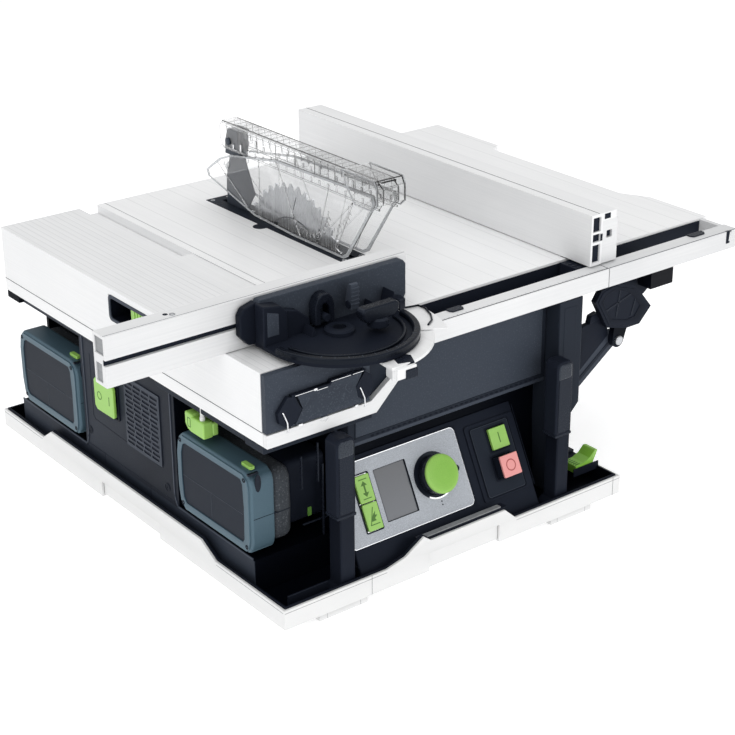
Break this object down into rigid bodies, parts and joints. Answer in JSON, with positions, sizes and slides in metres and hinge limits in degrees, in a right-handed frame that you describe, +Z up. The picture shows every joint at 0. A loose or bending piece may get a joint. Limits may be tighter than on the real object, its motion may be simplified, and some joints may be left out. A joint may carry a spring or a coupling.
{
  "type": "table saw",
  "caption": "Compact cordless table saw built into a case tray, with tilting and rising blade, sliding table, mitre gauge, rip fence, folding wing and slide-in batteries.",
  "frame": {"origin": "middle of the saw's box on the floor, under the feet", "axes": "+Z up, +X to the right along the front rail, +Y to the back along the cut"},
  "size_m": [0.6786, 0.545, 0.322],
  "materials": {
    "white_case": "satin",
    "black_plastic": "fine texture",
    "slate_plastic": "fine texture",
    "aluminium": "satin anodised",
    "steel": "ground",
    "green_plastic": "satin",
    "red_plastic": "satin",
    "panel_grey": "speckled",
    "battery_teal": "satin",
    "glass_dark": "gloss",
    "clear_plastic": "clear"
  },
  "bodies": {
    "chassis": {"base_tray": "white_case", "tray_liner": "black_plastic", "main_housing": "slate_plastic", "control_cowl": "slate_plastic", "control_plate": "panel_grey", "display": "glass_dark", "front_panel": "slate_plastic", "right_pillar": "slate_plastic", "left_post": "black_plastic", "right_post": "black_plastic", "control_electronics": "black_plastic", "dust_port": "black_plastic", "vent_grille": "black_plastic", "front_rail": "aluminium", "slide_base": "aluminium", "guide_rail": "aluminium", "main_table": "aluminium", "table_insert": "black_plastic", "wing_hinge_pin": "steel", "trunnion_front": "steel", "trunnion_rear": "steel"},
    "slide": {"sliding_table": "aluminium", "slide_end_cap": "black_plastic", "tool_holder": "slate_plastic", "slide_pocket": "black_plastic", "mitre_base": "aluminium"},
    "slide_release": {"slide_button": "green_plastic"},
    "mitre_gauge": {"mitre_head": "black_plastic"},
    "mitre_bar": {"mitre_fence": "aluminium"},
    "mitre_lock": {"mitre_knob": "black_plastic"},
    "mitre_lever": {"mitre_clamp": "slate_plastic"},
    "rip_fence_set": {"rip_fence": "aluminium", "fence_bracket": "aluminium", "fence_carriage": "black_plastic"},
    "wing": {"extension_wing": "aluminium", "rail_extension": "aluminium"},
    "brace_top": {"brace_upper": "black_plastic"},
    "brace_bottom": {"brace_lower": "slate_plastic"},
    "saw_tilt": {"tilt_cradle": "steel", "lift_screw": "steel"},
    "saw_lift": {"lift_carriage": "steel", "gear_case": "slate_plastic", "motor_housing": "black_plastic", "riving_knife": "steel", "guard_top": "clear_plastic"},
    "blade": {"saw_blade": "steel", "arbor": "steel"},
    "motor": {"motor_rotor": "steel"},
    "shield_left": {"guard_shield_left": "clear_plastic"},
    "shield_right": {"guard_shield_right": "clear_plastic"},
    "knob": {"menu_knob": "green_plastic"},
    "key_a": {"key_up": "green_plastic"},
    "key_b": {"key_down": "green_plastic"},
    "start": {"start_button": "green_plastic"},
    "stop": {"stop_button": "red_plastic"},
    "switch": {"main_switch": "green_plastic"},
    "lock": {"lock_lever": "green_plastic"},
    "pack_front": {"battery_front": "battery_teal"},
    "pack_rear": {"battery_rear": "battery_teal"},
    "latch": {"tray_latch": "green_plastic"}
  },
  "joints": [
    {"name": "slide_travel", "type": "slide", "parent": "chassis", "child": "slide", "axis": [0, 1, 0], "range_m": [-0.2, 0.2]},
    {"name": "slide_release_press", "type": "slide", "parent": "slide", "child": "slide_release", "axis": [1, 0, 0], "range_m": [0, 0.002], "stiffness_N_per_m": 300},
    {"name": "mitre_swivel", "type": "hinge", "parent": "slide", "child": "mitre_gauge", "pos_m": [-0.1357, -0.1895, 0.236], "axis": [0, 0, 1], "range_deg": [-50, 50]},
    {"name": "mitre_fence_shift", "type": "slide", "parent": "mitre_gauge", "child": "mitre_bar", "axis": [1, 0, 0], "range_m": [-0.06, 0.008]},
    {"name": "mitre_knob_turn", "type": "hinge", "parent": "mitre_gauge", "child": "mitre_lock", "pos_m": [-0.1097, -0.2085, 0.2446], "axis": [0, 0, 1], "range_deg": [-90, 90]},
    {"name": "mitre_lever_swing", "type": "hinge", "parent": "mitre_gauge", "child": "mitre_lever", "pos_m": [-0.1097, -0.173, 0.253], "axis": [1, 0, 0], "range_deg": [0, 35]},
    {"name": "rip_fence_travel", "type": "slide", "parent": "chassis", "child": "rip_fence_set", "axis": [1, 0, 0], "range_m": [-0.12, 0.12]},
    {"name": "wing_fold", "type": "hinge", "parent": "chassis", "child": "wing", "pos_m": [0.1619, 0.0345, 0.209], "axis": [0, 1, 0], "range_deg": [0, 90]},
    {"name": "brace_top_pivot", "type": "hinge", "parent": "wing", "child": "brace_top", "pos_m": [0.2353, -0.1865, 0.203], "axis": [0, 1, 0], "range_deg": [-176, 0]},
    {"name": "brace_bottom_pivot", "type": "hinge", "parent": "chassis", "child": "brace_bottom", "pos_m": [0.1393, -0.1795, 0.098], "axis": [0, 1, 0], "range_deg": [0, 40]},
    {"name": "saw_tilt_axis", "type": "hinge", "parent": "chassis", "child": "saw_tilt", "pos_m": [-0.0077, 0.0385, 0.232], "axis": [0, 1, 0], "range_deg": [-10, 47]},
    {"name": "blade_height", "type": "slide", "parent": "saw_tilt", "child": "saw_lift", "axis": [0, 0, 1], "range_m": [-0.048, 0]},
    {"name": "blade_spin", "type": "hinge", "parent": "saw_lift", "child": "blade", "pos_m": [-0.0077, 0.0525, 0.196], "axis": [1, 0, 0], "continuous": true},
    {"name": "motor_spin", "type": "hinge", "parent": "saw_lift", "child": "motor", "pos_m": [0.0413, 0.0525, 0.162], "axis": [1, 0, 0], "continuous": true},
    {"name": "shield_left_rise", "type": "slide", "parent": "saw_tilt", "child": "shield_left", "axis": [0, 0, 1], "range_m": [-0.0106, 0.0024]},
    {"name": "shield_right_rise", "type": "slide", "parent": "saw_tilt", "child": "shield_right", "axis": [0, 0, 1], "range_m": [-0.003, 0.0133]},
    {"name": "menu_knob_turn", "type": "hinge", "parent": "chassis", "child": "knob", "pos_m": [-0.0387, -0.19965, 0.07702], "axis": [0, -0.8888, 0.4583], "continuous": true},
    {"name": "key_up_press", "type": "slide", "parent": "chassis", "child": "key_a", "axis": [0, 0.8888, -0.4583], "range_m": [0, 0.001], "stiffness_N_per_m": 300},
    {"name": "key_down_press", "type": "slide", "parent": "chassis", "child": "key_b", "axis": [0, 0.8888, -0.4583], "range_m": [0, 0.001], "stiffness_N_per_m": 300},
    {"name": "start_press", "type": "slide", "parent": "chassis", "child": "start", "axis": [0, 0.8888, -0.4583], "range_m": [0, 0.0015], "stiffness_N_per_m": 300},
    {"name": "stop_press", "type": "slide", "parent": "chassis", "child": "stop", "axis": [0, 0.8888, -0.4583], "range_m": [0, 0.002], "stiffness_N_per_m": 300},
    {"name": "main_switch_press", "type": "slide", "parent": "chassis", "child": "switch", "axis": [1, 0, 0], "range_m": [0, 0.0012], "stiffness_N_per_m": 300},
    {"name": "lock_lever_turn", "type": "hinge", "parent": "chassis", "child": "lock", "pos_m": [-0.2247, -0.1095, 0.155], "axis": [0, 0, 1], "range_deg": [0, 30]},
    {"name": "battery_front_out", "type": "slide", "parent": "chassis", "child": "pack_front", "axis": [-1, 0, 0], "range_m": [0, 0.06]},
    {"name": "battery_rear_out", "type": "slide", "parent": "chassis", "child": "pack_rear", "axis": [-1, 0, 0], "range_m": [0, 0.06]},
    {"name": "tray_latch_lift", "type": "hinge", "parent": "chassis", "child": "latch", "pos_m": [0.1353, -0.1995, 0.029], "axis": [0, 1, 0], "range_deg": [-50, 0]}
  ],
  "couplings": [
    {"joint": "brace_bottom_pivot", "follows": "wing_fold", "ratio": 0.43233},
    {"joint": "brace_top_pivot", "follows": "wing_fold", "ratio": -1.9459},
    {"joint": "motor_spin", "follows": "blade_spin", "ratio": -1.2966},
    {"joint": "shield_left_rise", "follows": "saw_tilt_axis", "m_per_rad": -0.0126},
    {"joint": "shield_right_rise", "follows": "saw_tilt_axis", "m_per_rad": 0.01587}
  ]
}
